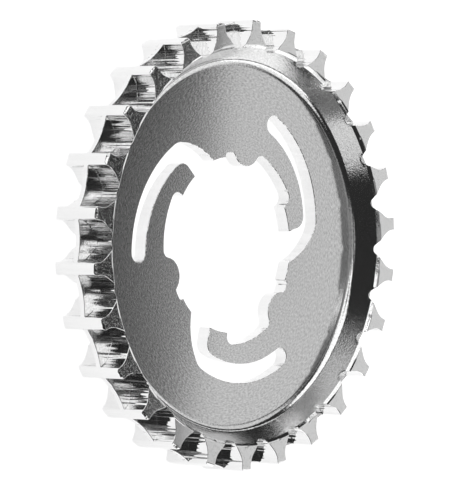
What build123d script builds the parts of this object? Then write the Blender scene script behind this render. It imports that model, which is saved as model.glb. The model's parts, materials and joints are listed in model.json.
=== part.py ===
from build123d import *
import math
import os

os.makedirs("parts", exist_ok=True)

# One toothed sprocket for a toothed belt, millimetres, axis on Z.
# The dished front face looks up, the rear tooth faces stand on z = 0.

# Belt and teeth
tooth_count = 26
belt_pitch = 11.0
belt_line_gap = 0.8          # pitch line of the belt outside the tooth tips
tooth_depth = 5.85
sprocket_width = 11.0
gullet_root_radius = 1.95
gullet_mouth_width = 8.06
flank_angle = 48.0           # straight part of the flank, from the tangent
flank_radius = 4.0
tip_corner_radius = 0.6
tip_chamfer = 0.4
first_tooth_bearing = 87.1   # tooth one, three degrees behind lug one

# Centre fin that runs in the groove of the belt
fin_thickness = 1.2
fin_dip = 1.05               # fin under the tooth tips, middle of a gullet
fin_hollow_radius = 16.0
fin_end_drop = 0.25          # fin under the tips where it runs into a tooth

# Dished web
face_land_lift = 0.85        # inner end of the tooth face above the gullet root
face_chamfer = 0.55
wall_angle = 27.4            # dish wall from the axis
dish_depth = 5.25
web_thickness = 3.0
foot_fillet = 1.65

# Hub opening
lug_count = 3
first_lug_bearing = 90.0
seat_radius = 17.55          # lands that sit on the hub
arm_grip = 0.15              # arm ends stand this much proud of the seat
lug_reach = 1.43             # lug nose inside the seat circle
lug_nose_radius = 3.8
lug_root_fillet = 1.5
relief_depth = 0.85
relief_end_bearing = 18.6    # bearings below are measured from the lug
relief_fillet = 0.7
pocket_depth = 2.25
pocket_start_bearing = 68.6
pocket_fillet = 1.6
slot_width = 3.8
slot_radius = 22.75          # middle line of the slot
slot_centre_radius = 4.47    # from the axis to the centre of that line
slot_centre_bearing = 121.85
slot_start_bearing = 20.0    # this and the next two are seen from that centre
slot_end_bearing = 102.0
throat_end_bearing = 40.8
throat_start_bearing = 30.6
throat_radius = 14.8
throat_fillet = 4.0
throat_lip_fillet = 0.3
arm_end_bearing = 51.0
arm_end_slope = 7.0          # arm end face, from its own radius
arm_nose_share = 0.54        # nose fillet, as a share of the arm's end face

# Derived sizes
pitch_radius = tooth_count * belt_pitch / (2 * math.pi)
tip_radius = pitch_radius - belt_line_gap
root_radius = tip_radius - tooth_depth
face_radius = root_radius + face_land_lift
wall_top_radius = face_radius - face_chamfer
web_bottom = sprocket_width - dish_depth - web_thickness
fin_bottom = (sprocket_width - fin_thickness) / 2
tooth_step = 360.0 / tooth_count
first_gullet_bearing = first_tooth_bearing + tooth_step / 2
lug_step = 360.0 / lug_count
nose_distance = seat_radius - lug_reach + lug_nose_radius
pocket_radius = seat_radius + pocket_depth
relief_radius = seat_radius + relief_depth
arm_end_radius = seat_radius - arm_grip
arm_end_way = arm_end_bearing + arm_end_slope
slot_inner_radius = slot_radius - slot_width / 2
slot_outer_radius = slot_radius + slot_width / 2

# Cutters reach past the metal by this much, and helper shapes past the opening
cut_clearance = 2.0
helper_span = 2 * root_radius


def polar(radius, angle):
    """Point in the plane at a radius and an angle in degrees."""
    turn = math.radians(angle)
    return Vector(radius * math.cos(turn), radius * math.sin(turn))


def around(shape, count, start=0.0):
    """Copies of a shape turned about the axis, evenly spaced."""
    return [Rot(0, 0, start + 360.0 / count * index) * shape for index in range(count)]


def circle_meeting(centre_a, radius_a, centre_b, radius_b, side):
    """Where two circles cross, to the left (1) or right (-1) of a to b."""
    apart = (centre_b - centre_a).length
    along = (apart ** 2 + radius_a ** 2 - radius_b ** 2) / (2 * apart)
    aside = math.sqrt(max(radius_a ** 2 - along ** 2, 0))
    way = (centre_b - centre_a).normalized()
    across = Vector(-way.Y, way.X)
    return centre_a + way * along + across * (aside * side)


# Turned faces

def dish_cutter(depth):
    """What the lathe takes out of one side, opening upwards from z = 0."""
    lean = math.tan(math.radians(wall_angle))
    foot_radius = wall_top_radius - (depth - face_chamfer) * lean
    section = make_face(
        Polyline(
            (0, -depth),
            (foot_radius, -depth),
            (wall_top_radius, -face_chamfer),
            (face_radius + cut_clearance, cut_clearance),
            (0, cut_clearance),
            close=True,
        )
    )
    cutter = revolve(Rot(90, 0, 0) * section, Axis.Z)
    foot = cutter.edges().filter_by(GeomType.CIRCLE).group_by(Axis.Z)[0]
    return fillet(foot, foot_fillet)


def tip_chamfer_cutter():
    """Ring that breaks the corner between the tooth tips and the upper face."""
    section = make_face(
        Polyline(
            (tip_radius - tip_chamfer - cut_clearance, cut_clearance),
            (tip_radius + cut_clearance, cut_clearance),
            (tip_radius + cut_clearance, -tip_chamfer - cut_clearance),
            close=True,
        )
    )
    return revolve(Rot(90, 0, 0) * section, Axis.Z)


# Teeth

def half_gullet():
    """Edges of half a gullet on the X axis, from its root out to the tooth tip."""
    lean = math.radians(flank_angle)
    root_centre = root_radius + gullet_root_radius
    root_end = Vector(
        root_centre - gullet_root_radius * math.cos(lean),
        gullet_root_radius * math.sin(lean),
    )
    flank_y = gullet_mouth_width / 2 - flank_radius * (1 - math.sin(lean))
    flank_start = Vector(root_end.X + (flank_y - root_end.Y) * math.tan(lean), flank_y)
    flank_centre = flank_start + Vector(math.cos(lean), -math.sin(lean)) * flank_radius
    corner_centre = circle_meeting(
        Vector(0, 0),
        tip_radius - tip_corner_radius,
        flank_centre,
        flank_radius + tip_corner_radius,
        1,
    )
    to_corner = (corner_centre - flank_centre).normalized()
    to_tip = corner_centre.normalized()
    to_flank_middle = ((flank_start - flank_centre).normalized() + to_corner).normalized()
    to_corner_middle = (to_tip - to_corner).normalized()
    flank_middle = flank_centre + to_flank_middle * flank_radius
    flank_end = flank_centre + to_corner * flank_radius
    corner_middle = corner_centre + to_corner_middle * tip_corner_radius
    tip_start = to_tip * tip_radius
    edges = [
        Line(root_end, flank_start),
        ThreePointArc(flank_start, flank_middle, flank_end),
        ThreePointArc(flank_end, corner_middle, tip_start),
    ]
    return root_end, tip_start, edges


def below(point):
    """The same point on the other side of the X axis."""
    return Vector(point.X, -point.Y)


def tooth_space_edges():
    """Edges of one gullet and of the tooth tip that follows it."""
    root_end, tip_start, upper = half_gullet()
    lower = [edge.mirror(Plane.XZ) for edge in upper]
    root = ThreePointArc(below(root_end), Vector(root_radius, 0), root_end)
    next_tip = below(tip_start).rotate(Axis.Z, tooth_step)
    tip = ThreePointArc(tip_start, polar(tip_radius, tooth_step / 2), next_tip)
    return lower + [root] + upper + [tip]


def toothed_face():
    """The toothed outline with rounded tip corners."""
    edges = []
    for edge in tooth_space_edges():
        edges += around(edge, tooth_count, first_gullet_bearing)
    return make_face(edges)


def fin_face():
    """The fin outline, hollowed between every two teeth."""
    hollow = Pos(tip_radius - fin_dip + fin_hollow_radius, 0) * Circle(fin_hollow_radius)
    hollows = around(hollow, tooth_count, first_gullet_bearing)
    return Circle(tip_radius - fin_end_drop) - hollows


def toothed_ring():
    """Teeth and fin with both sides turned."""
    teeth = extrude(toothed_face(), sprocket_width)
    fin = Pos(0, 0, fin_bottom) * extrude(fin_face(), fin_thickness)
    front = Pos(0, 0, sprocket_width)
    rear = Rot(180, 0, 0)
    solid = teeth + fin
    solid = solid - front * dish_cutter(dish_depth) - rear * dish_cutter(web_bottom)
    return solid - front * tip_chamfer_cutter() - rear * tip_chamfer_cutter()


# Hub opening

def ring_sector(inner, outer, start, end):
    """Flat ring piece between two bearings less than a half turn apart."""
    wedge = make_face(
        Polyline(
            (0, 0),
            polar(helper_span, start),
            polar(helper_span, (start + end) / 2),
            polar(helper_span, end),
            close=True,
        )
    )
    ring = Circle(outer)
    if inner > 0:
        ring = ring - Circle(inner)
    return ring & wedge


def seat_outline():
    """Seat circle with pockets and reliefs, lugs left standing."""
    nose = Pos(nose_distance, 0) * Circle(lug_nose_radius)
    pocket = ring_sector(0, pocket_radius, pocket_start_bearing, lug_step)
    relief = ring_sector(0, relief_radius, 0, relief_end_bearing)
    arm_land = ring_sector(
        arm_end_radius, seat_radius + arm_grip, arm_end_bearing, pocket_start_bearing
    )
    outline = Circle(seat_radius)
    outline = outline + around(pocket, lug_count)
    outline = outline + around(relief, lug_count)
    outline = outline - around(arm_land, lug_count)
    return outline - around(nose, lug_count)


def slot_centre():
    """Centre of the slot's two long sides."""
    return polar(slot_centre_radius, slot_centre_bearing)


def throat_ends():
    """Where the throat leaves the seat and where it meets the slot."""
    start = polar(seat_radius, throat_start_bearing)
    end = slot_centre() + polar(slot_outer_radius, throat_end_bearing)
    return start, end


def throat_centre():
    """Centre of the arc of the throat, from its two ends and its radius."""
    start, end = throat_ends()
    half_span = (end - start).length / 2
    across = Vector(start.Y - end.Y, end.X - start.X).normalized()
    return (start + end) * 0.5 + across * math.sqrt(throat_radius ** 2 - half_span ** 2)


def slot_and_throat():
    """One curved slot with its round closed end and its throat at the seat."""
    centre = slot_centre()
    arm_start = polar(arm_end_radius, arm_end_bearing)
    end_point = centre + polar(slot_radius, slot_end_bearing)
    throat = Pos(throat_centre()) * Circle(throat_radius)
    outer = Pos(centre) * Circle(slot_outer_radius)
    before_arm = Pos(0, -helper_span / 2) * Rectangle(helper_span, helper_span)
    before_arm = Pos(arm_start) * Rot(0, 0, arm_end_way) * before_arm
    band = ring_sector(
        slot_inner_radius, slot_outer_radius, slot_start_bearing, slot_end_bearing
    )
    closed_end = Pos(end_point) * Circle(slot_width / 2)
    return (Pos(centre) * band - before_arm) + closed_end + (throat & outer & before_arm)


def arm_corner():
    """Where the end face of the arm meets the inner side of the slot."""
    start = polar(arm_end_radius, arm_end_bearing)
    way = polar(1, arm_end_way)
    to_centre = slot_centre() - start
    along = way.dot(to_centre)
    aside = (to_centre - way * along).length
    return start + way * (along + math.sqrt(slot_inner_radius ** 2 - aside ** 2))


def rounded_corners():
    """Each corner of the opening that is rounded, with its radius."""
    axis = Vector(0, 0)
    arm_nose = arm_corner()
    arm_end_length = (arm_nose - polar(arm_end_radius, arm_end_bearing)).length
    nose = Vector(nose_distance, 0)
    throat_lip, throat_end = throat_ends()
    lug_root = circle_meeting(axis, pocket_radius, nose, lug_nose_radius, -1)
    relief_root = circle_meeting(axis, relief_radius, nose, lug_nose_radius, 1)
    return [
        (arm_nose, arm_nose_share * arm_end_length),
        (throat_end, throat_fillet),
        (throat_lip, throat_lip_fillet),
        (lug_root, lug_root_fillet),
        (relief_root, relief_fillet),
        (polar(relief_radius, relief_end_bearing), relief_fillet),
        (polar(pocket_radius, pocket_start_bearing), pocket_fillet),
    ]


def rounded(solid, corner, radius):
    """Round the upright edge next to the corner, in every third."""
    upright = solid.edges().filter_by(Axis.Z)
    chosen = []
    for index in range(lug_count):
        wanted = corner.rotate(Axis.Z, lug_step * index)
        chosen.append(min(upright, key=lambda e: (Vector(e.center().X, e.center().Y) - wanted).length))
    return fillet(chosen, radius)


def hub_opening():
    """The whole hub opening as a cutter."""
    outline = seat_outline() + around(slot_and_throat(), lug_count)
    cutter = extrude(outline, web_thickness + 2 * cut_clearance)
    for corner, radius in rounded_corners():
        cutter = rounded(cutter, corner, radius)
    return Pos(0, 0, web_bottom - cut_clearance) * Rot(0, 0, first_lug_bearing) * cutter


sprocket = toothed_ring() - hub_opening()
sprocket = Solid(sprocket.solids()[0].wrapped)
export_step(sprocket, "parts/sprocket.step")
print("volume mm3", round(sprocket.volume, 1))
print("box", sprocket.bounding_box().min, sprocket.bounding_box().max)
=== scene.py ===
import json
import math

import bmesh
import bpy
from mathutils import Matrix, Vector

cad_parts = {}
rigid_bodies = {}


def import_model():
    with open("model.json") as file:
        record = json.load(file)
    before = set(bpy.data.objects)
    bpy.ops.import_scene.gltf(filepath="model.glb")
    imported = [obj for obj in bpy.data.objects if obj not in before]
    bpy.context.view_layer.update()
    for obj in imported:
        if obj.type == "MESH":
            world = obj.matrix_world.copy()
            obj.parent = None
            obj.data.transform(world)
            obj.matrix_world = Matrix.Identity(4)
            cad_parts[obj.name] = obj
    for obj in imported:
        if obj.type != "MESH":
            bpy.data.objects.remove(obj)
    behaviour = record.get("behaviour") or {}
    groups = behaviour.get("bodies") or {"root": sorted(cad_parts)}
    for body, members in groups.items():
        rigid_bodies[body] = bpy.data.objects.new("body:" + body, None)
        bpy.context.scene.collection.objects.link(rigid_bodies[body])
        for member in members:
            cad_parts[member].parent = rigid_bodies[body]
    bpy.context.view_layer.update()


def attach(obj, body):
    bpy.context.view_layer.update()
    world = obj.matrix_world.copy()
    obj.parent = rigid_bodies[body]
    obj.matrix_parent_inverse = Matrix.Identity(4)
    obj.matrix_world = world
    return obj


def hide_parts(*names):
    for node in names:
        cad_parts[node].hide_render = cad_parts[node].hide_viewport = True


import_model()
scene = bpy.context.scene
mm = 0.001

# In the dictionaries ring and hub every length is in millimetres, every angle in degrees.

ring = {
    "teeth": 26,
    "beltPitch": 11.0,
    "beltLineGap": 0.8,        # pitch line of the belt outside the tips
    "toothDepth": 5.85,
    "width": 11.0,
    "rootArc": 1.95,
    "mouthWidth": 8.06,
    "flankAngle": 48.0,
    "flankArc": 4.0,
    "tipCornerArc": 0.6,
    "tipChamfer": 0.4,
    "firstTooth": 87.1,
    "finThickness": 1.2,
    "finDip": 1.05,
    "finHollowArc": 16.0,
    "landLift": 0.85,
    "faceChamfer": 0.55,
    "wallAngle": 27.4,
    "dishDepth": 5.25,
    "webThickness": 3.0,
    "footFillet": 1.65,
    "edgeBreak": 0.3,          # the widest, where the tooth faces meet the wall
    "breakSteps": 3,
    "breakShares": (0.67, 0.4, 0.27),  # of it on blunt, square and sharp edges
}

tipRadius = ring["teeth"] * ring["beltPitch"] / (2 * math.pi) - ring["beltLineGap"]
rootRadius = tipRadius - ring["toothDepth"]
toothStep = 360.0 / ring["teeth"]
faceRadius = rootRadius + ring["landLift"]
wallTopRadius = faceRadius - ring["faceChamfer"]
tipFaceRadius = tipRadius - ring["tipChamfer"]
wallLean = math.radians(ring["wallAngle"])
webTop = ring["width"] - ring["dishDepth"]
webBottom = webTop - ring["webThickness"]
finTop = (ring["width"] + ring["finThickness"]) / 2
finBottom = finTop - ring["finThickness"]
origin = Vector((0, 0))


# Plane geometry

bendStep = 6.0                 # degrees between the points of a small bend


def polar(radius, angle):
    turn = math.radians(angle)
    return Vector((radius * math.cos(turn), radius * math.sin(turn)))


def bearing(point):
    return math.degrees(math.atan2(point.y, point.x))


def turned(point, angle):
    return polar(point.length, bearing(point) + angle)


def circlesMeet(centreA, radiusA, centreB, radiusB, side):
    apart = (centreB - centreA).length
    along = (apart ** 2 + radiusA ** 2 - radiusB ** 2) / (2 * apart)
    aside = math.sqrt(max(radiusA ** 2 - along ** 2, 0))
    way = (centreB - centreA).normalized()
    return centreA + way * along + Vector((-way.y, way.x)) * aside * side


# the crossing that lies furthest along the line
def lineMeetsCircle(start, way, centre, radius):
    along = way.dot(centre - start)
    aside = (centre - start - way * along).length
    return start + way * (along + math.sqrt(radius ** 2 - aside ** 2))


# points from start to end, sense 1 against the clock and -1 with it, step degrees apart
def arc(centre, start, end, sense, step=bendStep):
    radius = (start - centre).length
    first = bearing(start - centre)
    sweep = sense * ((sense * (bearing(end - centre) - first)) % 360.0)
    count = max(2, math.ceil(abs(sweep) / step))
    return [centre + polar(radius, first + sweep * i / count) for i in range(count + 1)]


# the point of a circle that faces another point
def onto(centre, radius, other):
    return centre + (other - centre).normalized() * radius


# Toothed ring: one tooth, from gullet middle to gullet middle

curveStep, cornerStep, tipStep = 1.0, 3.0, 0.1  # degrees between fine points
flankPoints = 24


# fine outline from the gullet middle, on the X axis, to the middle of the tooth tip,
# in pieces, each with the number of fine points to one that is kept
def gulletOutline():
    lean = math.radians(ring["flankAngle"])
    rootCentre = Vector((rootRadius + ring["rootArc"], 0))
    rootEnd = rootCentre + Vector((-math.cos(lean), math.sin(lean))) * ring["rootArc"]
    flankY = ring["mouthWidth"] / 2 - ring["flankArc"] * (1 - math.sin(lean))
    flankStart = Vector((rootEnd.x + (flankY - rootEnd.y) * math.tan(lean), flankY))
    flankCentre = flankStart + Vector((math.cos(lean), -math.sin(lean))) * ring["flankArc"]
    cornerCentre = circlesMeet(
        origin, tipRadius - ring["tipCornerArc"], flankCentre, ring["flankArc"] + ring["tipCornerArc"], 1)
    flankEnd = onto(flankCentre, ring["flankArc"], cornerCentre)
    tipStart = onto(origin, tipRadius, cornerCentre)
    return [
        (arc(rootCentre, Vector((rootRadius, 0)), rootEnd, -1, curveStep), 8),
        ([rootEnd.lerp(flankStart, i / flankPoints) for i in range(flankPoints + 1)], 12),
        (arc(flankCentre, flankStart, flankEnd, -1, curveStep), 7),
        (arc(cornerCentre, flankEnd, tipStart, 1, cornerStep), 5),
        (arc(origin, tipStart, polar(tipRadius, toothStep / 2), 1, tipStep), 4),
    ]


# place along the fine outline, as index and fraction, where measure reaches level
def crossing(points, level, measure):
    for i in range(len(points) - 1):
        low, high = measure(points[i]), measure(points[i + 1])
        if (low - level) * (high - level) <= 0 and low != high:
            return i + (level - low) / (high - low)
    raise ValueError("the outline never reaches " + str(level))


leastGap = 0.16                # between a kept point and one where another surface meets the outline
hairsBreadth = 1e-7            # so that the tip is met where it begins


# the outline thinned out, with a point wherever another surface meets it
def halfTooth():
    fine, kept = [], []
    for points, stride in gulletOutline():
        first = len(fine)
        fine += points if not fine else points[1:]
        last = len(fine) - 1
        start = first if first == 0 else first - 1
        kept += [(float(i), "") for i in range(start, last, stride) if last - i > stride / 2]
        kept.append((float(last), ""))
    hollow = Vector((tipRadius - ring["finDip"] + ring["finHollowArc"], 0))
    marks = [
        (crossing(fine, wallTopRadius, lambda p: p.length), "wallTop"),
        (crossing(fine, faceRadius, lambda p: p.length), "face"),
        (crossing(fine, ring["finHollowArc"], lambda p: (p - hollow).length), "fin"),
        (crossing(fine, tipFaceRadius, lambda p: p.length), "tipFace"),
        (crossing(fine, tipRadius - hairsBreadth, lambda p: p.length), "tip"),
    ]

    def place(where):
        i = min(int(where), len(fine) - 2)
        return fine[i].lerp(fine[i + 1], where - i)

    ends = (0.0, float(len(fine) - 1))
    kept = [k for k in sorted(set(kept)) if k[0] in ends
            or min((place(k[0]) - place(m[0])).length for m in marks) > leastGap]
    stops = sorted(kept + marks)
    outline = [turned(place(where), -toothStep / 2) for where, name in stops]
    index = {name: i for i, (where, name) in enumerate(stops) if name}
    return outline, index


# height at which the turned side ends an upright wall that stands at this radius
def lipHeight(radius):
    if radius > tipFaceRadius:
        return ring["width"] - (radius - tipFaceRadius)
    if radius >= faceRadius:
        return ring["width"]
    if radius >= wallTopRadius:
        return ring["width"] - (faceRadius - radius)
    return ring["width"] - ring["faceChamfer"] - (wallTopRadius - radius) / math.tan(wallLean)


wallRows = (0.2, 0.5)          # inside the root circle, where the dish wall is divided
filletSteps = 8


# radius and height down the dish wall and round its foot, ending on the web
def dishProfile(depth):
    floor = ring["width"] - depth
    footRadius = wallTopRadius - (depth - ring["faceChamfer"]) * math.tan(wallLean)
    fillet = ring["footFillet"]
    run = fillet * math.tan(math.radians(90 - ring["wallAngle"]) / 2)
    profile = [(rootRadius - row, lipHeight(rootRadius - row)) for row in wallRows]
    for i in range(filletSteps + 1):
        a = math.radians(-ring["wallAngle"] - (90 - ring["wallAngle"]) * i / filletSteps)
        profile.append((footRadius - run + fillet * math.cos(a), floor + fillet + fillet * math.sin(a)))
    return profile


# collects faces by their corner places, so that faces share corners
class ShapeMaker:
    def __init__(self):
        self.mesh = bmesh.new()
        self.finish = self.mesh.faces.layers.int.new("finish")
        self.corners = {}

    def corner(self, point, height):
        key = (round(point.x, 4), round(point.y, 4), round(height, 4))
        if key not in self.corners:
            self.corners[key] = self.mesh.verts.new(Vector(key) * mm)
        return self.corners[key]

    def face(self, places, finish, flat=False):
        ends = []
        for point, height in places:
            found = self.corner(point, height)
            if not ends or (found is not ends[-1] and found is not ends[0]):
                ends.append(found)
        if len(ends) > 2 and self.mesh.faces.get(ends) is None:
            made = self.mesh.faces.new(ends)
            made[self.finish] = finish
            made.smooth = not flat

    def toObject(self, name):
        data = bpy.data.meshes.new(name)
        self.mesh.to_mesh(data)
        self.mesh.free()
        made = bpy.data.objects.new(name, data)
        scene.collection.objects.link(made)
        return made


hobbedFinish, facedFinish, turnedFinish, polishedFinish = range(4)
arcSteps = 5                   # from a tooth's flank to its middle, along the turned side


def oneTooth():
    outline, index = halfTooth()
    maker = ShapeMaker()
    lastWall, firstFace, finEnd = index["wallTop"], index["face"], index["fin"]
    tipFace, tip, middle = index["tipFace"], index["tip"], len(outline) - 1
    width = ring["width"]
    firstAngle = bearing(outline[lastWall])
    arcAngles = [firstAngle * (1 - j / arcSteps) for j in range(arcSteps + 1)]
    hollowCentre = turned(Vector((tipRadius - ring["finDip"] + ring["finHollowArc"], 0)), -toothStep / 2)
    firstWay = bearing((hollowCentre * -1).normalized())
    swing = bearing((outline[finEnd] - hollowCentre).normalized()) - firstWay
    swing = (swing + 180) % 360 - 180
    finLine = [hollowCentre + polar(ring["finHollowArc"], firstWay + swing * i / finEnd)
               for i in range(finEnd)] + [outline[finEnd]]

    for side in (1, -1):
        def at(point):
            return Vector((point.x, point.y * side))

        wall = [at(point) for point in outline]
        fin = [at(point) for point in finLine]
        lips = [lipHeight(point.length) for point in outline]
        for k in range(middle):
            a, b = wall[k], wall[k + 1]
            maker.face([(a, finTop), (b, finTop), (b, lips[k + 1]), (a, lips[k])], hobbedFinish)
            maker.face([(a, width - lips[k]), (b, width - lips[k + 1]), (b, finBottom), (a, finBottom)],
                       hobbedFinish)
            if k >= finEnd:
                maker.face([(a, finBottom), (b, finBottom), (b, finTop), (a, finTop)], hobbedFinish)
        for k in range(finEnd):
            maker.face([(fin[k], finBottom), (fin[k + 1], finBottom), (fin[k + 1], finTop), (fin[k], finTop)],
                       hobbedFinish)
        for height in (finTop, finBottom):
            rim = wall[:finEnd + 1] + fin[finEnd - 1::-1]
            maker.face([(point, height) for point in rim], polishedFinish, flat=True)

        for front in (True, False):
            def level(height):
                return height if front else width - height

            # tip chamfer
            inner = {k: at(polar(tipFaceRadius, bearing(outline[k]))) for k in range(tip + 1, middle + 1)}
            end = [(wall[k], level(lips[k])) for k in range(tipFace, tip + 1)]
            end += [(wall[tip + 1], level(lips[tip + 1])), (inner[tip + 1], level(width))]
            maker.face(end, hobbedFinish)
            for k in range(tip + 1, middle):
                maker.face([(wall[k], level(lips[k])), (wall[k + 1], level(lips[k + 1])),
                            (inner[k + 1], level(width)), (inner[k], level(width))], hobbedFinish)

            # chamfer at the foot of the tooth face
            outer = [at(polar(faceRadius, angle)) for angle in arcAngles]
            lower = [at(polar(wallTopRadius, angle)) for angle in arcAngles]
            chamferFoot = level(width - ring["faceChamfer"])
            end = [(wall[k], level(lips[k])) for k in range(lastWall, firstFace + 1)]
            maker.face(end + [(outer[1], level(width)), (lower[1], chamferFoot)], polishedFinish)
            for j in range(1, arcSteps):
                maker.face([(lower[j], chamferFoot), (outer[j], level(width)),
                            (outer[j + 1], level(width)), (lower[j + 1], chamferFoot)], polishedFinish)

            # dish wall and foot fillet
            profile = dishProfile(ring["dishDepth"] if front else webBottom)
            tops = [(outline[k], lips[k]) for k in range(lastWall + 1)]
            tops += [(polar(wallTopRadius, angle), width - ring["faceChamfer"]) for angle in arcAngles[1:]]
            for (topA, heightA), (topB, heightB) in zip(tops, tops[1:]):
                rowsA, rowsB = [
                    [(at(top), level(height))] + [(at(polar(r, bearing(top))), level(h)) for r, h in profile]
                    for top, height in ((topA, heightA), (topB, heightB))]
                for i in range(len(rowsA) - 1):
                    maker.face([rowsA[i], rowsB[i], rowsB[i + 1], rowsA[i + 1]], polishedFinish)

    # tooth faces, each a single flat face
    half = [outline[k] for k in range(firstFace, tipFace + 1)]
    half += [polar(tipFaceRadius, bearing(outline[k])) for k in range(tip + 1, middle + 1)]
    base = [polar(faceRadius, angle) for angle in arcAngles[1:]]
    border = half + [Vector((p.x, -p.y)) for p in half[-2::-1]]
    border += [Vector((p.x, -p.y)) for p in base[:-1]] + base[::-1]
    for height in (width, 0.0):
        maker.face([(point, height) for point in border], facedFinish, flat=True)
    return maker.toObject("tooth")


# Hub opening: one third of its edge, from one lug to the next

hub = {
    "lugs": 3,
    "firstLug": 90.0,
    "seatRadius": 17.55,
    "armGrip": 0.15,
    "lugReach": 1.43,
    "lugNoseArc": 3.8,
    "reliefDepth": 0.85,
    "reliefEnd": 18.6,         # bearings in this dictionary count from the lug
    "reliefArc": 0.7,
    "lugRootArc": 1.5,
    "pocketDepth": 2.25,
    "pocketStart": 68.6,
    "pocketArc": 1.6,
    "slotWidth": 3.8,
    "slotArc": 22.75,
    "slotCentreOffset": 4.47,
    "slotCentreBearing": 121.85,
    "slotEndBearing": 102.0,
    "throatStart": 30.6,
    "throatEnd": 40.8,
    "throatArc": 14.8,
    "throatFillet": 4.0,
    "throatLipArc": 0.3,
    "armEndBearing": 51.0,
    "armEndSlope": 7.0,
    "armNoseShare": 0.54,      # of the arm's end face
    "edgeBreak": 0.14,
    "breakSteps": 3,
}

lugStep = 360.0 / hub["lugs"]
longStep, slotEndStep, lipStep = 3.0, 9.0, 15.0  # degrees between the points of these arcs


def hubThird():
    seat = hub["seatRadius"]
    reliefRadius = seat + hub["reliefDepth"]
    pocketRadius = seat + hub["pocketDepth"]
    nose = Vector((seat - hub["lugReach"] + hub["lugNoseArc"], 0))
    nextNose = turned(nose, lugStep)
    noseArc = hub["lugNoseArc"]
    points = []

    # relief beside the lug
    small = hub["reliefArc"]
    bend = circlesMeet(origin, reliefRadius - small, nose, noseArc + small, 1)
    reliefStart = onto(nose, noseArc, bend)
    points += arc(bend, reliefStart, onto(origin, reliefRadius, bend), 1)
    endWay = polar(1, hub["reliefEnd"])
    inward = Vector((endWay.y, -endWay.x))
    bendEnd = lineMeetsCircle(inward * small, endWay, origin, reliefRadius - small)
    points += arc(origin, points[-1], onto(origin, reliefRadius, bendEnd), 1, longStep)[1:]
    points += arc(bendEnd, points[-1], bendEnd - inward * small, 1)[1:]

    # seat land, lip and throat
    slotCentre = polar(hub["slotCentreOffset"], hub["slotCentreBearing"])
    outer = hub["slotArc"] + hub["slotWidth"] / 2
    inner = hub["slotArc"] - hub["slotWidth"] / 2
    throatArc = hub["throatArc"]
    throatStart = polar(seat, hub["throatStart"])
    throatEnd = slotCentre + polar(outer, hub["throatEnd"])
    throat = circlesMeet(throatStart, throatArc, throatEnd, throatArc, 1)
    lip = circlesMeet(origin, seat + hub["throatLipArc"], throat, throatArc + hub["throatLipArc"], -1)
    seatStart = polar(seat, hub["reliefEnd"])
    points += arc(origin, seatStart, onto(origin, seat, lip), 1, longStep)
    lipEnd = onto(throat, throatArc, lip)
    points += arc(lip, points[-1], lipEnd, -1, lipStep)[1:]
    fillet = hub["throatFillet"]
    turn = circlesMeet(throat, throatArc - fillet, slotCentre, outer - fillet, 1)
    points += arc(throat, points[-1], onto(throat, throatArc, turn), 1, longStep)[1:]
    points += arc(turn, points[-1], onto(slotCentre, outer, turn), 1)[1:]

    # slot, out and back
    slotEnd = slotCentre + polar(hub["slotArc"], hub["slotEndBearing"])
    points += arc(slotCentre, points[-1], onto(slotCentre, outer, slotEnd), 1, longStep)[1:]
    points += arc(slotEnd, points[-1], onto(slotCentre, inner, slotEnd), 1, slotEndStep)[1:]
    armStart = polar(seat - hub["armGrip"], hub["armEndBearing"])
    armWay = polar(1, hub["armEndBearing"] + hub["armEndSlope"])
    armAside = Vector((-armWay.y, armWay.x))
    armCorner = lineMeetsCircle(armStart, armWay, slotCentre, inner)
    noseRound = hub["armNoseShare"] * (armCorner - armStart).length
    armTip = lineMeetsCircle(armStart + armAside * noseRound, armWay, slotCentre, inner - noseRound)
    points += arc(slotCentre, points[-1], onto(slotCentre, inner, armTip), -1, longStep)[1:]
    points += arc(armTip, points[-1], armTip - armAside * noseRound, -1)[1:]

    # arm land, pocket and the next lug
    points += arc(origin, armStart, polar(seat - hub["armGrip"], hub["pocketStart"]), 1, longStep)
    pocketWay = polar(1, hub["pocketStart"])
    pocketAside = Vector((-pocketWay.y, pocketWay.x))
    pocketBend = lineMeetsCircle(
        pocketAside * hub["pocketArc"], pocketWay, origin, pocketRadius - hub["pocketArc"])
    points += arc(pocketBend, pocketBend - pocketAside * hub["pocketArc"],
                  onto(origin, pocketRadius, pocketBend), 1)
    root = circlesMeet(origin, pocketRadius - hub["lugRootArc"], nextNose, noseArc + hub["lugRootArc"], -1)
    points += arc(origin, points[-1], onto(origin, pocketRadius, root), 1, longStep)[1:]
    points += arc(root, points[-1], onto(nextNose, noseArc, root), 1)[1:]
    points += arc(nextNose, points[-1], turned(reliefStart, lugStep), -1)[1:]
    return points


leastTurn = 0.5                # keeps a sharp corner of an offset line from running away


# a closed line moved out of the opening, into the metal
def offsetRing(points, distance):
    moved = []
    count = len(points)
    for i in range(count):
        before = (points[i] - points[i - 1]).normalized()
        after = (points[(i + 1) % count] - points[i]).normalized()
        sideways = Vector((before.y, -before.x)) + Vector((after.y, -after.x))
        sideways = sideways.normalized()
        stretch = 1 / max(sideways.dot(Vector((after.y, -after.x))), leastTurn)
        moved.append(points[i] + sideways * distance * stretch)
    return moved


# Geometry nodes: one shape repeated round the Z axis

toothWeld = 0.01 * mm


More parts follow.
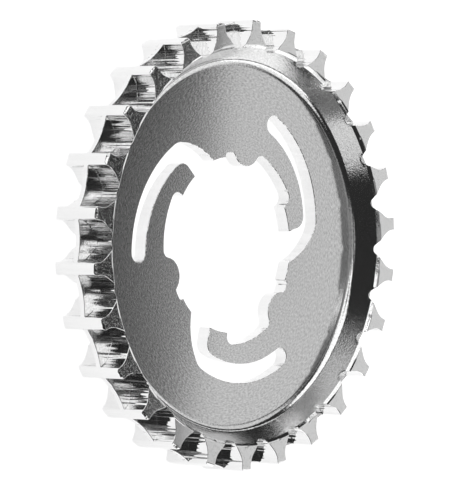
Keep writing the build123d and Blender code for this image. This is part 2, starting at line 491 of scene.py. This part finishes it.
def repeatRoundTree():
    tree = bpy.data.node_groups.new("repeatRoundAxis", "GeometryNodeTree")
    sockets = {}
    wanted = [
        ("Shape", "NodeSocketGeometry"), ("Count", "NodeSocketInt"), ("Step", "NodeSocketFloat"),
        ("First", "NodeSocketFloat"), ("Weld", "NodeSocketFloat"), ("Metal", "NodeSocketMaterial"),
        ("Blasted Metal", "NodeSocketMaterial"),
    ]
    for name, kind in wanted:
        sockets[name] = tree.interface.new_socket(name, in_out="INPUT", socket_type=kind).identifier
    tree.interface.new_socket("Shape", in_out="OUTPUT", socket_type="NodeSocketGeometry")
    nodes, link = tree.nodes, tree.links.new
    given = nodes.new("NodeGroupInput")
    result = nodes.new("NodeGroupOutput")
    places = nodes.new("GeometryNodePoints")
    number = nodes.new("GeometryNodeInputIndex")
    angle = nodes.new("ShaderNodeMath")
    angle.operation = "MULTIPLY_ADD"
    spin = nodes.new("ShaderNodeCombineXYZ")
    copies = nodes.new("GeometryNodeInstanceOnPoints")
    real = nodes.new("GeometryNodeRealizeInstances")
    weld = nodes.new("GeometryNodeMergeByDistance")
    finish = nodes.new("GeometryNodeInputNamedAttribute")
    finish.data_type = "INT"
    finish.inputs["Name"].default_value = "finish"
    isBlasted = nodes.new("FunctionNodeCompare")
    isBlasted.data_type = "INT"
    isBlasted.operation = "EQUAL"
    metal = nodes.new("GeometryNodeSetMaterial")
    blasted = nodes.new("GeometryNodeSetMaterial")
    link(given.outputs["Count"], places.inputs["Count"])
    link(number.outputs[0], angle.inputs[0])
    link(given.outputs["Step"], angle.inputs[1])
    link(given.outputs["First"], angle.inputs[2])
    link(angle.outputs[0], spin.inputs["Z"])
    link(places.outputs[0], copies.inputs["Points"])
    link(given.outputs["Shape"], copies.inputs["Instance"])
    link(spin.outputs[0], copies.inputs["Rotation"])
    link(copies.outputs[0], real.inputs[0])
    link(real.outputs[0], weld.inputs["Geometry"])
    link(given.outputs["Weld"], weld.inputs["Distance"])
    whole = [s for s in isBlasted.inputs if s.type == "INT"]
    link(finish.outputs["Attribute"], whole[0])
    whole[1].default_value = facedFinish
    link(weld.outputs[0], metal.inputs["Geometry"])
    link(given.outputs["Metal"], metal.inputs["Material"])
    link(metal.outputs[0], blasted.inputs["Geometry"])
    link(isBlasted.outputs[0], blasted.inputs["Selection"])
    link(given.outputs["Blasted Metal"], blasted.inputs["Material"])
    link(blasted.outputs[0], result.inputs[0])
    return tree, sockets


def repeated(source, count, first, tree, sockets, metal, blasted):
    nodes = source.modifiers.new("repeatRoundAxis", "NODES")
    nodes.node_group = tree
    nodes[sockets["Count"]] = count
    nodes[sockets["Step"]] = 2 * math.pi / count
    nodes[sockets["First"]] = math.radians(first)
    nodes[sockets["Weld"]] = toothWeld
    nodes[sockets["Metal"]] = metal
    nodes[sockets["Blasted Metal"]] = blasted
    depsgraph = bpy.context.evaluated_depsgraph_get()
    plain = bpy.data.meshes.new_from_object(source.evaluated_get(depsgraph))
    spare = source.data
    bpy.data.objects.remove(source)
    bpy.data.meshes.remove(spare)
    return plain


# Web: the upright edge of the hub opening with its small edge breaks, and the two flat faces

def hubEdgeThird():
    points = hubThird()
    whole = [turned(p, lugStep * k) for k in range(hub["lugs"]) for p in points[:-1]]
    size, steps = hub["edgeBreak"], hub["breakSteps"]
    breaks = []                # how far into the metal, how far below the face
    for i in range(steps + 1):
        a = math.radians(90 * i / steps)
        breaks.append((size * (1 - math.sin(a)), size * (1 - math.cos(a))))
    levels = [(inward, webTop - drop) for inward, drop in breaks]
    levels += [(inward, webBottom + drop) for inward, drop in breaks[::-1]]
    lines = [(offsetRing(whole, inward), height) for inward, height in levels]
    maker = ShapeMaker()
    count = len(points) - 1
    for (lineA, heightA), (lineB, heightB) in zip(lines, lines[1:]):
        for i in range(count):
            j = (i + 1) % len(whole)
            maker.face([(lineA[i], heightA), (lineA[j], heightA), (lineB[j], heightB), (lineB[i], heightB)],
                       hobbedFinish)
    return maker.toObject("hubEdgeThird")


flatWithin = 1e-6
bodyWeld = 0.002 * mm
rimWithin = 0.02 * mm
bluntFrom, squareFrom, sharpFrom = 32, 60, 120  # how far an edge turns, in degrees, for each share
creaseFrom = 13                # a smaller turn is shaded smooth


# open edges that lie at one height inside a radius
def loopEdges(mesh, height, radius):
    found = []
    for edge in mesh.edges:
        if not edge.is_boundary:
            continue
        if all(abs(v.co.z - height * mm) < flatWithin and v.co.xy.length < radius * mm for v in edge.verts):
            found.append(edge)
    return found


# how wide each edge's break becomes, as a share of the widest
def weighEdges(mesh):
    weight = mesh.edges.layers.float.new("bevel_weight_edge")
    blunt, right, sharp = ring["breakShares"]
    for e in mesh.edges:
        if len(e.link_faces) != 2:
            continue
        turn = abs(math.degrees(e.calc_face_angle(0)))
        if turn > bluntFrom:
            onRim = all(abs(v.co.xy.length - faceRadius * mm) < rimWithin for v in e.verts)
            if turn < squareFrom:
                e[weight] = 1.0 if onRim else blunt
            else:
                e[weight] = right if turn < sharpFrom else sharp
        elif turn > creaseFrom:
            e.smooth = False


def fillWeb(mesh, finish):
    for height in (webTop, webBottom):
        loops = loopEdges(mesh, height, faceRadius)
        for item in bmesh.ops.triangle_fill(mesh, use_beauty=True, edges=loops)["geom"]:
            if isinstance(item, bmesh.types.BMFace):
                item[finish] = turnedFinish
                item.smooth = False


def breakEdges(made):
    bevel = made.modifiers.new("edgeBreak", "BEVEL")
    bevel.limit_method = "WEIGHT"
    bevel.width = ring["edgeBreak"] * mm
    bevel.segments = ring["breakSteps"]
    bevel.use_clamp_overlap = False
    bevel.loop_slide = False
    weighted = made.modifiers.new("weightedNormal", "WEIGHTED_NORMAL")
    weighted.keep_sharp = True
    depsgraph = bpy.context.evaluated_depsgraph_get()
    finished = bpy.data.meshes.new_from_object(made.evaluated_get(depsgraph))
    plain = made.data
    made.modifiers.clear()
    made.data = finished
    bpy.data.meshes.remove(plain)
    finished.name = "sprocket_body"


def wholeSprocket(materials):
    tree, sockets = repeatRoundTree()
    hobbed, faced = materials[:2]
    teeth = repeated(oneTooth(), ring["teeth"], ring["firstTooth"], tree, sockets, hobbed, faced)
    print("toothed ring:", len(teeth.vertices), "vertices")
    edge = repeated(hubEdgeThird(), hub["lugs"], hub["firstLug"], tree, sockets, hobbed, faced)
    print("hub edge:", len(edge.vertices), "vertices")
    mesh = bmesh.new()
    mesh.from_mesh(teeth)
    finish = mesh.faces.layers.int["finish"]
    weighEdges(mesh)
    mesh.from_mesh(edge)
    fillWeb(mesh, finish)
    bmesh.ops.remove_doubles(mesh, verts=mesh.verts, dist=bodyWeld)
    bmesh.ops.recalc_face_normals(mesh, faces=mesh.faces)
    openEdges = sum(not e.is_manifold for e in mesh.edges)
    volume = mesh.calc_volume(signed=True) / mm ** 3
    print("open or doubled edges:", openEdges, " volume mm3:", round(volume, 1))
    for f in mesh.faces:
        f.material_index = f[finish]
    data = bpy.data.meshes.new("sprocket_body")
    mesh.to_mesh(data)
    mesh.free()
    for material in materials:
        data.materials.append(material)
    made = bpy.data.objects.new("sprocket_body", data)
    scene.collection.objects.link(made)
    breakEdges(made)
    print("sprocket body:", len(made.data.polygons), "faces")
    return made


# Metals

# grain is spots to a metre along x, y and z, or outwards and in a radian round the axis for the
# turned face; depth is in millimetres; shade is how much darker a spot is; fill is where in the
# noise a spot begins and ends
metals = {
    "color": (0.82, 0.82, 0.82),
    "hobbed": {
        "roughness": 0.05, "grain": (600, 600, 30), "depth": 0.30, "shade": 0.05, "fill": (0.30, 0.70)},
    "faced": {
        "roughness": 0.06, "grain": (5600, 5600, 5600), "depth": 0.0042, "shade": 0.02, "fill": (0.60, 0.75)},
    "turned": {
        "roughness": 0.085, "grain": (3300, 42, 0), "depth": 0.0009, "shade": 0.30, "fill": (0.35, 0.68),
        "anisotropic": 0.75},
    "polished": {
        "roughness": 0.11, "grain": (3200, 3200, 3200), "depth": 0.007, "shade": 0.22, "fill": (0.35, 0.68)},
}
noiseDetail = 2.0


def addNode(material, kind, **settings):
    node = material.node_tree.nodes.new(kind)
    for name, value in settings.items():
        setattr(node, name, value)
    return node


def newMetal(name):
    given = metals[name]
    material = bpy.data.materials.new(name + "_plate")
    material.use_nodes = True
    shader = material.node_tree.nodes["Principled BSDF"]
    shader.inputs["Metallic"].default_value = 1.0
    shader.inputs["Roughness"].default_value = given["roughness"]
    place = addNode(material, "ShaderNodeTexCoord")
    return material, shader, place.outputs["Object"]


# noise over the scaled places, as fine relief and as darker spots
def addGrain(material, shader, scaled, given):
    link = material.node_tree.links.new
    noise = addNode(material, "ShaderNodeTexNoise")
    noise.inputs["Scale"].default_value = 1.0
    noise.inputs["Detail"].default_value = noiseDetail
    link(scaled, noise.inputs["Vector"])
    spots = addNode(material, "ShaderNodeMapRange")
    spots.inputs["From Min"].default_value, spots.inputs["From Max"].default_value = given["fill"]
    link(noise.outputs["Fac"], spots.inputs["Value"])
    bump = addNode(material, "ShaderNodeBump")
    bump.inputs["Strength"].default_value = 1.0
    bump.inputs["Distance"].default_value = given["depth"] * mm
    bump.invert = True
    link(spots.outputs["Result"], bump.inputs["Height"])
    link(bump.outputs["Normal"], shader.inputs["Normal"])
    tone = addNode(material, "ShaderNodeMix", data_type="RGBA")
    light, dark = [socket for socket in tone.inputs if socket.type == "RGBA"]
    light.default_value = (*metals["color"], 1)
    dark.default_value = (*[part * (1 - given["shade"]) for part in metals["color"]], 1)
    link(spots.outputs["Result"], tone.inputs["Factor"])
    link([socket for socket in tone.outputs if socket.type == "RGBA"][0], shader.inputs["Base Color"])


# spots, drawn out along the axis where the last number of the grain is smaller
def spottedMetal(name):
    given = metals[name]
    material, shader, place = newMetal(name)
    mapping = addNode(material, "ShaderNodeMapping")
    mapping.inputs["Scale"].default_value = given["grain"]
    material.node_tree.links.new(place, mapping.inputs["Vector"])
    addGrain(material, shader, mapping.outputs[0], given)
    return material


# short marks that follow the rings of a lathe tool, spreading the light outwards and inwards
def turnedMetal(name):
    given = metals[name]
    material, shader, place = newMetal(name)
    link = material.node_tree.links.new
    flat = addNode(material, "ShaderNodeVectorMath", operation="MULTIPLY")
    flat.inputs[1].default_value = (1, 1, 0)
    radius = addNode(material, "ShaderNodeVectorMath", operation="LENGTH")
    apart = addNode(material, "ShaderNodeSeparateXYZ")
    angle = addNode(material, "ShaderNodeMath", operation="ARCTAN2")
    rings = addNode(material, "ShaderNodeCombineXYZ")
    stretch = addNode(material, "ShaderNodeVectorMath", operation="MULTIPLY")
    stretch.inputs[1].default_value = given["grain"]
    link(place, flat.inputs[0])
    link(flat.outputs["Vector"], radius.inputs[0])
    link(flat.outputs["Vector"], apart.inputs[0])
    link(apart.outputs["Y"], angle.inputs[0])
    link(apart.outputs["X"], angle.inputs[1])
    link(radius.outputs["Value"], rings.inputs["X"])
    link(angle.outputs[0], rings.inputs["Y"])
    link(rings.outputs[0], stretch.inputs[0])
    shader.inputs["Anisotropic"].default_value = given["anisotropic"]
    link(flat.outputs["Vector"], shader.inputs["Tangent"])
    addGrain(material, shader, stretch.outputs[0], given)
    return material


# in the order of the finish numbers
finishes = (spottedMetal("hobbed"), spottedMetal("faced"), turnedMetal("turned"), spottedMetal("polished"))

body = wholeSprocket(finishes)
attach(body, "root")
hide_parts("sprocket")
print("sprocket made")


# Floor, lights and camera

studio = {
    "world": 0.030,
    "floorSize": 12.0,
    "floorDrop": 0.00002,      # keeps the floor clear of the rear tooth faces
    "floorGrey": 0.5,
    "floorRoughness": 0.9,
    "floorGlow": 0.88,         # brings the floor to white in the picture and in the metal
    "distance": 3.0,           # of the panels from the sprocket, metres
    # name, first and last bearing, lowest and highest angle above the floor, brightness
    "panels": [
        ("side_far_panel", -95.0, -73.0, 0.5, 8.0, 0.2),
        ("side_low_panel", -75.0, -23.0, 0.5, 23.0, 1.45),
        ("side_panel", -73.0, -23.0, 22.0, 50.0, 1.05),
        ("side_near_panel", -24.0, 25.0, 0.5, 35.0, 0.95),
        ("front_panel", -15.0, 22.0, 34.0, 43.1, 0.70),
        ("front_far_panel", 25.0, 60.0, 21.0, 50.0, 0.75),
        ("front_high_panel", -27.0, 53.0, 55.0, 88.0, 0.25),
        ("back_low_panel", 90.0, 148.0, 0.5, 11.0, 0.60),
        ("back_panel", 81.0, 158.0, 20.0, 58.0, 1.35),
        ("back_high_panel", 72.0, 142.0, 57.0, 82.0, 1.2),
        ("left_low_panel", 234.0, 265.0, 2.0, 14.0, 0.8),
        ("left_panel", 184.0, 208.0, 33.0, 42.0, 0.5),
        ("left_back_panel", 158.0, 180.0, 48.0, 66.0, 1.4),
        ("left_high_panel", 180.0, 233.0, 52.0, 88.0, 0.3),
    ],
}

world = bpy.data.worlds.new("studio")
scene.world = world
world.use_nodes = True
world.node_tree.nodes["Background"].inputs["Color"].default_value = (1, 1, 1, 1)
world.node_tree.nodes["Background"].inputs["Strength"].default_value = studio["world"]


def areaPanel(name, firstBearing, lastBearing, lowest, highest, brightness):
    azimuth, elevation = (firstBearing + lastBearing) / 2, (lowest + highest) / 2
    distance = studio["distance"]
    data = bpy.data.lights.new(name, "AREA")
    data.shape = "RECTANGLE"
    nearer = distance * math.cos(math.radians(elevation))
    data.size = 2 * nearer * math.tan(math.radians(lastBearing - azimuth))
    data.size_y = 2 * distance * math.tan(math.radians(highest - elevation))
    data.energy = brightness * math.pi * data.size * data.size_y
    made = bpy.data.objects.new(name, data)
    scene.collection.objects.link(made)
    a, e = math.radians(azimuth), math.radians(elevation)
    way = Vector((math.cos(a) * math.cos(e), math.sin(a) * math.cos(e), math.sin(e)))
    made.location = way * distance
    made.rotation_euler = way.to_track_quat("Z", "Y").to_euler()


for panel in studio["panels"]:
    areaPanel(*panel)

floorData = bpy.data.meshes.new("floor")
half = studio["floorSize"] / 2
floorCorners = [(x * half, y * half, -studio["floorDrop"]) for x, y in ((-1, -1), (1, -1), (1, 1), (-1, 1))]
floorData.from_pydata(floorCorners, [], [(0, 1, 2, 3)])
floor = bpy.data.objects.new("floor", floorData)
scene.collection.objects.link(floor)
paper = bpy.data.materials.new("white_paper")
paper.use_nodes = True
nodes, link = paper.node_tree.nodes, paper.node_tree.links.new
paperShader = nodes["Principled BSDF"]
paperShader.inputs["Base Color"].default_value = (*[studio["floorGrey"]] * 3, 1)
paperShader.inputs["Roughness"].default_value = studio["floorRoughness"]
glow = nodes.new("ShaderNodeEmission")
glow.inputs["Color"].default_value = (1, 1, 1, 1)
seen = nodes.new("ShaderNodeLightPath")
mirrored = nodes.new("ShaderNodeMath")
mirrored.operation = "MAXIMUM"
either = nodes.new("ShaderNodeMath")
either.operation = "MAXIMUM"
share = nodes.new("ShaderNodeMath")
share.operation = "MULTIPLY"
share.inputs[1].default_value = studio["floorGlow"]
both = nodes.new("ShaderNodeAddShader")
link(seen.outputs["Is Glossy Ray"], mirrored.inputs[0])
link(seen.outputs["Is Transmission Ray"], mirrored.inputs[1])
link(seen.outputs["Is Camera Ray"], either.inputs[0])
link(mirrored.outputs[0], either.inputs[1])
link(either.outputs[0], share.inputs[0])
link(share.outputs[0], glow.inputs["Strength"])
link(paperShader.outputs[0], both.inputs[0])
link(glow.outputs[0], both.inputs[1])
link(both.outputs[0], nodes["Material Output"].inputs["Surface"])
floorData.materials.append(paper)

view = {
    "sensorHeight": 36.0,
    "focalLength": 3814.38 / 491,  # in heights of the picture
    "location": (-0.552337, -0.110673, 0.513668),
    "rotation": (-1.155585, -47.918239, 12.879322),
}

cameraData = bpy.data.cameras.new("camera")
cameraData.sensor_fit = "VERTICAL"
cameraData.sensor_height = view["sensorHeight"]
cameraData.lens = view["focalLength"] * view["sensorHeight"]
camera = bpy.data.objects.new("camera", cameraData)
scene.collection.objects.link(camera)
camera.location = view["location"]
camera.rotation_euler = [math.radians(a) for a in view["rotation"]]
scene.camera = camera
scene.view_settings.view_transform = "Standard"
print("stage, lights and camera set")
